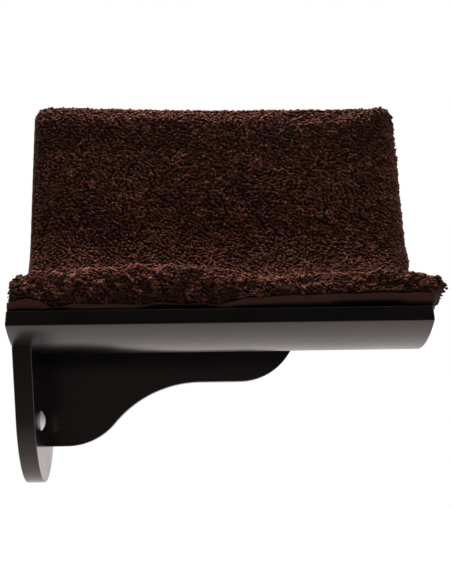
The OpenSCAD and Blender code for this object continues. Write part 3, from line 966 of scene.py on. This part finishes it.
class CATSHELF_OT_bracket(bpy.types.Operator):
    """Make the wall plate and the gusset of the bracket"""

    bl_idname = "catshelf.bracket"
    bl_label = "Wall plate and gusset"

    def execute(self, context):
        boards, colours = context.scene.catshelf_boards, context.scene.catshelf_colours
        # the lighter copy of the black paint: painted light in the shade under the shelf
        paint = paint_material("smooth_black_paint_lit", colours.bracket_paint_lit, BRACKET_DULL)
        finish_board(self.plate(boards), paint, "wall_plate")
        finish_board(self.gusset(boards), paint, "gusset")
        return {"FINISHED"}

    def plate(self, boards):
        """The plate: near side, round foot, far side, rounded shoulder, and a top coped to the bend."""
        axis, top = (1, 0, 0), boards.far_shoulder_h
        cope_r = boards.bend_r + boards.glue_gap
        near_y = boards.shoulder_half + boards.bend_y
        near = Vector((-boards.shoulder_half, boards.bend_z - math.sqrt(cope_r**2 - near_y**2)))
        far = Vector((boards.shoulder_half, top))
        foot = Vector((0, boards.foot_r + boards.foot_low))

        def touch(corner, side):
            """The angle at which a line from a corner touches the foot."""
            off = corner - foot
            return math.atan2(off.y, off.x) + side * math.acos(boards.foot_r / off.length)

        start, stop = touch(near, 1), touch(far, -1)
        reach = boards.foot_r + foot.dot(heading(stop))
        round_r = boards.far_shoulder_r
        round_z = top - round_r
        round_y = (reach - round_r - round_z * math.sin(stop)) / math.cos(stop)
        cope_y = boards.bend_y + math.sqrt(cope_r**2 - (boards.bend_z - top) ** 2)
        bm = bmesh.new()
        vert = bm.verts.new((0, *near))
        vert = line_to(bm, vert, (0, *(foot + boards.foot_r * heading(start))))
        vert = arc_about(bm, vert, (0, *foot), axis, (stop - start) % (2 * math.pi), 72)
        vert = line_to(bm, vert, (0, *(Vector((round_y, round_z)) + round_r * heading(stop))))
        vert = arc_about(bm, vert, (0, round_y, round_z), axis, math.pi / 2 - stop, 16)
        vert = line_to(bm, vert, (0, cope_y, top))
        sweep = math.asin((cope_y - boards.bend_y) / cope_r) + math.asin(near_y / cope_r)
        arc_about(bm, vert, (0, boards.bend_y, boards.bend_z), axis, -sweep, 48)
        fill_outline(bm, (boards.plate_t, 0, 0))
        bend = Vector((boards.bend_y, boards.bend_z))
        round_edges(bm, boards.edge_r, lambda co: abs((co.yz - bend).length - cope_r) < TOUCH)
        plate = from_bmesh("wall_board", bm)
        drill(plate, wall_holes(boards.plate_t) + screw_holes("plate_screws", 2, 0, -1, PLATE_DRILL))
        return plate

    def gusset(self, boards):
        """The gusset: level heel, ogee and round toe, cut along its top to lie under the panel."""
        inside, low, slope = boards.plate_t, boards.gusset_low, boards.ogee_slope
        heel = Vector((inside + boards.heel_run, low + boards.heel_r))
        across = Vector((math.sin(slope), -math.cos(slope)))
        hollow = heel + (boards.heel_r + boards.hollow_r) * across
        toe = Vector((hollow.x + boards.toe_run, hollow.y + boards.hollow_r + boards.toe_r))
        side = boards.gusset_y - boards.gusset_t / 2
        tall = boards.bend_z
        axis = (0, -1, 0)
        bm = bmesh.new()
        vert = bm.verts.new((inside, side, tall))
        vert = line_to(bm, vert, (inside, side, low))
        vert = line_to(bm, vert, (heel.x, side, low))
        vert = arc_about(bm, vert, (heel.x, side, heel.y), axis, slope, 24)
        vert = arc_about(bm, vert, (hollow.x, side, hollow.y), axis, -slope, 28)
        vert = line_to(bm, vert, (toe.x, side, toe.y - boards.toe_r))
        vert = arc_about(bm, vert, (toe.x, side, toe.y), axis, math.pi / 2, 28)
        line_to(bm, vert, (toe.x + boards.toe_r, side, tall))
        fill_outline(bm, (0, boards.gusset_t, 0))
        turn = math.asin((boards.gusset_y - boards.bend_y) / boards.bend_r)
        normal = Vector((0, -math.sin(turn), math.cos(turn)))
        middle = Vector((0, boards.bend_y, boards.bend_z)) - normal * (boards.bend_r + boards.glue_gap)
        geom = [*bm.verts, *bm.edges, *bm.faces]
        bmesh.ops.bisect_plane(bm, geom=geom, plane_co=middle, plane_no=normal, clear_outer=True)
        fill_holes(bm)

        def joined(co):
            """Whether a point lies on the plate or under the panel."""
            return abs(co.x - inside) < TOUCH or abs((co - middle).dot(normal)) < TOUCH

        round_edges(bm, boards.edge_r, joined)
        return from_bmesh("scroll_brace", bm)


class CATSHELF_OT_covers(bpy.types.Operator):
    """Make the two domed screw covers"""

    bl_idname = "catshelf.covers"
    bl_label = "Screw covers"

    stem_r, stem_wall = 5.9 * MM, 1.3 * MM
    dome_share = 0.96  # of the dome's arc, down to its rolled rim
    rim = ((0.0, 0.25), (-0.25, 0.0), (-1.2, 0.0))  # out from the radius and up from the seat, in mm
    bore_share = 0.6  # how far the stem's bore goes up into the dome

    def execute(self, context):
        nickel = nickel_material(context.scene.catshelf_colours.nickel)
        seat = context.scene.catshelf_boards.plate_t
        for name, node, body in COVERS:
            obj = self.dome(name, seat, *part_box(node))
            shade_smooth(obj.data, 40)
            cast(obj, body, "nickel", nickel, node)
        return {"FINISHED"}

    def dome(self, name, seat, low, high):
        """A pressed dome with a rolled rim and a stem, spun round its axis."""
        centre = (low + high) / 2
        rise, radius, stem = high.x - seat, (high.y - low.y) / 2, seat - low.x
        dome_r = (radius**2 + rise**2) / (2 * rise)
        turn = math.asin(radius / dome_r) * self.dome_share
        bore_r, bore_top = self.stem_r - self.stem_wall, rise * self.bore_share
        outline = [(up * MM, radius + out * MM) for out, up in self.rim]
        outline += [(0, self.stem_r), (-stem, self.stem_r)]
        outline += [(-stem, bore_r), (bore_top, bore_r), (bore_top, 0)]
        bm = bmesh.new()
        vert = bm.verts.new((seat + rise, centre.y, centre.z))
        vert = arc_about(bm, vert, (seat + rise - dome_r, centre.y, centre.z), (0, 0, 1), turn, 16)
        for up, out in outline:
            vert = line_to(bm, vert, (seat + up, centre.y + out, centre.z))
        full = {"axis": (1, 0, 0), "angle": 2 * math.pi, "steps": 64, "use_merge": True}
        bmesh.ops.spin(bm, geom=[*bm.verts, *bm.edges], cent=(seat, centre.y, centre.z), **full)
        bmesh.ops.remove_doubles(bm, verts=bm.verts, dist=1e-6)
        outward(bm)
        return from_bmesh(name, bm)


class CATSHELF_OT_fixings(bpy.types.Operator):
    """Finish the screws, the dowels and the hook and loop strips"""

    bl_idname = "catshelf.fixings"
    bl_label = "Fixings and strips"

    def execute(self, context):
        colours = context.scene.catshelf_colours
        hooks = tape_material("hook_field", colours.tape, 640.0, 0.6 * MM)
        loops = tape_material("loop_field", colours.lining, 420.0, 0.8 * MM)
        for material, nodes in (
            (zinc_material(colours.zinc), ("plate_screws", "gusset_screws", "shoulder_screws")),
            (beech_material(colours.beech), ("gusset_dowels",)),
            (hooks, ("seat_hook_strip", "back_hook_strip")),
            (loops, ("seat_loop_strip", "back_loop_strip")),
        ):
            for node in nodes:
                set_material(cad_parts[node].data, material)
        return {"FINISHED"}


class CATSHELF_OT_lining(bpy.types.Operator):
    """Make the smooth lining under the pad, turned up a little along its front"""

    bl_idname = "catshelf.lining"
    bl_label = "Pad lining"

    grid = (140, 160)
    sheet_t = 1.2 * MM
    pad_gap = 0.1 * MM
    top_short = 4 * MM  # how far it ends below the top of the panel's face
    flap_share = 0.1  # of the sheet's rows, turned up along the front
    flap_over = 6.5 * MM  # how far the turned-up front reaches past the CAD lining
    gap_shade_at = (0.3, 0.3)  # start and run of the painted shade, as shares of the turned-up front

    def execute(self, context):
        boards, pad = context.scene.catshelf_boards, context.scene.catshelf_pad
        bm = bmesh.new()
        made, u, v = eased_grid(bm, *self.grid)
        reach = face_length(boards) - self.top_short
        low = pad.pad_low - self.sheet_t - self.pad_gap
        free_end = LINING_BOX[1].x + self.flap_over * (1 - smooth_step((1 + v) / 2 / (2 * self.flap_share)))
        x = WALL_GAP + (free_end - WALL_GAP) * (1 + u) / 2
        share = np.clip((1 + v) / 2 / self.flap_share, 0, 1)
        tall = EDGE_LEVEL * pad_thickness(pad, x, -1)
        turn = (1 - share) * np.arccos(1 - (flap_height(x) + lining_settle(x, 0)) / tall)
        front = LOW_ROUND - pad.lip_over
        flap = front - (LOW_ROUND + self.sheet_t) * np.sin(turn)
        rest = front + (reach - front) * ((1 + v) / 2 - self.flap_share) / (1 - self.flap_share)
        along = np.where(share < 1, flap, rest)
        rise = low - lining_settle(x, along) + edge_lift(boards, x, along)
        y, z = face_point(boards, along, rise + tall * (1 - np.cos(turn)))
        move_to(made, np.stack([x, y, z], 1))
        outward(bm)
        area = sum(f.calc_area() for f in bm.faces)
        bm.verts.index_update()
        order = np.array([vert.index for vert in made])
        lining = from_bmesh("lining_sheet", bm)
        # The lining's nearly black part is painted shade: the shadow in the gap between the rim and the pad.
        gap_shade = np.empty(len(order))
        gap_shade[order] = ramp(share, *self.gap_shade_at)
        point_values(lining.data, "gap_shade", gap_shade)
        shade_smooth(lining.data, 32)
        solid = lining.modifiers.new("Cloth thickness", "SOLIDIFY")
        solid.thickness, solid.offset = self.sheet_t, 1.0
        cast(lining, "pad", "lining", lining_material(context.scene.catshelf_colours.lining), "pad_lining")
        return {"FINISHED"}


class CATSHELF_OT_pad(bpy.types.Operator):
    """Make the fleece pad: its stuffed form, and the nubs of its pile"""

    bl_idname = "catshelf.pad"
    bl_label = "Fleece pad"

    seed = 7
    zones = (  # name, start and stop in m along the panel's face, and shade; the lower shades of the bend and the crest are painted shade where the overhead lamp falls strongest
        ("roll", -1.0, 0.06, 0.5),
        ("seat", 0.06, 0.17, 0.5),
        ("bend", 0.17, 0.28, 0.4),
        ("back", 0.28, 0.385, 0.5),
        ("crest", 0.385, 9.0, 0.17),
    )
    matted_at = (50 * MM, 40 * MM)  # where the matted pile of the front roll ends, and over which run
    clump_scale, clump_rise, clump_cut = 95.0, 4.2 * MM, 0.25  # clumps of nubs, and how far they stand out
    patch_scale = 22
    dim_at = (220 * MM, 90 * MM)  # where the roll gets darker along the shelf, painted shade
    crest_highlight_at = (0.65, 0.3)  # how level its surface is where its crest gets a painted highlight
    hem_run = 11 * MM  # the height above the lining over which its painted shade fades
    wall_at = 10 * MM  # nubs closer to the wall are smaller
    front, front_low, low = 12 * MM, 1.5 * MM, 5 * MM  # the pile starts this high above the lining
    roll_depth, roll_wall, back_wall = 50 * MM, 0.5 * MM, 6 * MM  # and this far from the wall
    end_short = 1 * MM

    def execute(self, context):
        boards, pad = context.scene.catshelf_boards, context.scene.catshelf_pad
        colours = context.scene.catshelf_colours
        fleece = fleece_material(colours.fleece_tip, colours.fleece_root_shade)
        core = self.core(boards, pad)
        skin = applied(core)
        cast(core, "pad", "fleece", fleece, "fleece_cover", "seat_foam", "back_foam")
        rng = np.random.default_rng(self.seed)
        for zone, start, stop, shade in self.zones:
            pitch = pad.roll_pitch if zone == "roll" else pad.nub_pitch
            found = scattered(
                skin, pitch, rng, lambda places: self.covered(boards, pad, places, start, stop)
            )
            nubs = self.nubs(boards, pad, shade, *found, rng)
            mesh = pile_mesh("fleece_" + zone, *nubs, rng)
            cast(link_mesh("fleece_" + zone, mesh), "pad", "fleece", fleece)
        bpy.data.meshes.remove(skin)
        return {"FINISHED"}

    def core(self, boards, pad):
        """The stuffed form, two shaped skins made one, even mesh and inflated."""
        bm = bmesh.new()
        for upper in (True, False):
            made, u, v = eased_grid(bm, *PAD_GRID)
            move_to(made, pad_points(boards, pad, u, v, upper))
        bmesh.ops.remove_doubles(bm, verts=bm.verts, dist=1e-5)
        fill_holes(bm)
        core = from_bmesh("fleece_pad", bm)
        remesh = core.modifiers.new("Remesh", "REMESH")
        remesh.mode, remesh.voxel_size = "VOXEL", pad.voxel
        core.data = applied(core)
        core.modifiers.remove(remesh)
        inflate(core, boards, pad)
        shade_smooth(core.data)
        finer = core.modifiers.new("Subdivision", "SUBSURF")
        finer.levels = finer.render_levels = 1
        return core

    def covered(self, boards, pad, places, start, stop):
        """Where the pile grows: above the lining, clear of the wall, and within a stretch of the pad."""
        x = places[:, 0]
        along, rise = face_place(boards, places)
        low = np.where(along < self.front, flap_height(x) + self.front_low, self.low)
        low = np.where(x > boards.shelf_length - self.end_short, self.low, low)
        low = low + edge_lift(boards, x, along)
        wall = WALL_GAP + np.where(along < self.roll_depth, self.roll_wall, self.back_wall)
        return (rise > pad.pad_low + low) & (x > wall) & (along >= start) & (along < stop)

    def nubs(self, boards, pad, shade, points, normals, rng):
        """Places, normals, sizes and shades of nubs, and how matted they are, which the front roll is; the
        shades hold random tone and painted light and shade.
        """
        along, rise = face_place(boards, points)
        matted = 1 - ramp(along, *self.matted_at)
        hem = rise - pad.pad_low - flap_height(points[:, 0]) - edge_lift(boards, points[:, 0], along)
        clump, patch = noise_at(points, self.clump_scale), noise_at(points, self.patch_scale)
        stand = np.maximum(clump + self.clump_cut, 0) * self.clump_rise * (0.3 + 0.7 * matted)
        points = points + normals * stand[:, None]
        # Sunk clumps darker and raised ones lighter is painted shade; the patches and the scatter are random
        # tone.
        shades = shade + clump * (0.55 + 0.75 * matted) + 0.3 * patch + rng.normal(0, 0.08, len(points))
        # Painted light and shade on the matted roll: lighter where it faces up and at its crest, darker where
        # it faces down, further along the shelf and just above the lining.
        level = normals[:, 2]
        painted_light_and_shade = 0.34 - 0.4 * np.clip(level, -0.5, 1) + 0.2 * ramp(points[:, 0], *self.dim_at)
        painted_light_and_shade = painted_light_and_shade - 0.3 * ramp(level, *self.crest_highlight_at)
        shades = shades - matted * (painted_light_and_shade + 0.3 - 0.3 * smooth_step(hem / self.hem_run))
        sizes = pad.nub_size * np.stack([1.36 - 0.3 * matted, 0.88 - 0.2 * matted, 1 - 0.27 * matted], 1)
        sizes = sizes * (0.55 + 0.45 * smooth_step(points[:, 0] / self.wall_at))[:, None]
        return points, normals, sizes, np.clip(shades, 0, 1), matted


class CATSHELF_PT_sidebar(bpy.types.Panel):
    """Lists the steps that dress the shelf"""

    bl_idname = "CATSHELF_PT_sidebar"
    bl_label = "Cat Shelf"
    bl_space_type = "VIEW_3D"
    bl_region_type = "UI"
    bl_category = "Cat Shelf"

    def draw(self, context):
        for step in STEPS:
            self.layout.operator(step.bl_idname)
        for key, group in GROUPS.items():
            box = self.layout.box()
            for size in group.__annotations__:
                box.prop(getattr(context.scene, key), size)


STEPS = (
    CATSHELF_OT_stage,
    CATSHELF_OT_panel,
    CATSHELF_OT_bracket,
    CATSHELF_OT_covers,
    CATSHELF_OT_fixings,
    CATSHELF_OT_lining,
    CATSHELF_OT_pad,
)
GROUPS = {
    "catshelf_boards": CatShelfBoards,
    "catshelf_pad": CatShelfPad,
    "catshelf_colours": CatShelfColours,
}
CLASSES = (*GROUPS.values(), *STEPS, CATSHELF_PT_sidebar)


def register():
    for cls in CLASSES:
        bpy.utils.register_class(cls)
    for key, group in GROUPS.items():
        setattr(bpy.types.Scene, key, bpy.props.PointerProperty(type=group))


def unregister():
    for key in GROUPS:
        delattr(bpy.types.Scene, key)
    for cls in reversed(CLASSES):
        bpy.utils.unregister_class(cls)


def main():
    register()
    for step in STEPS:
        group, name = step.bl_idname.split(".")
        getattr(getattr(bpy.ops, group), name)()


if __name__ == "__main__":
    main()
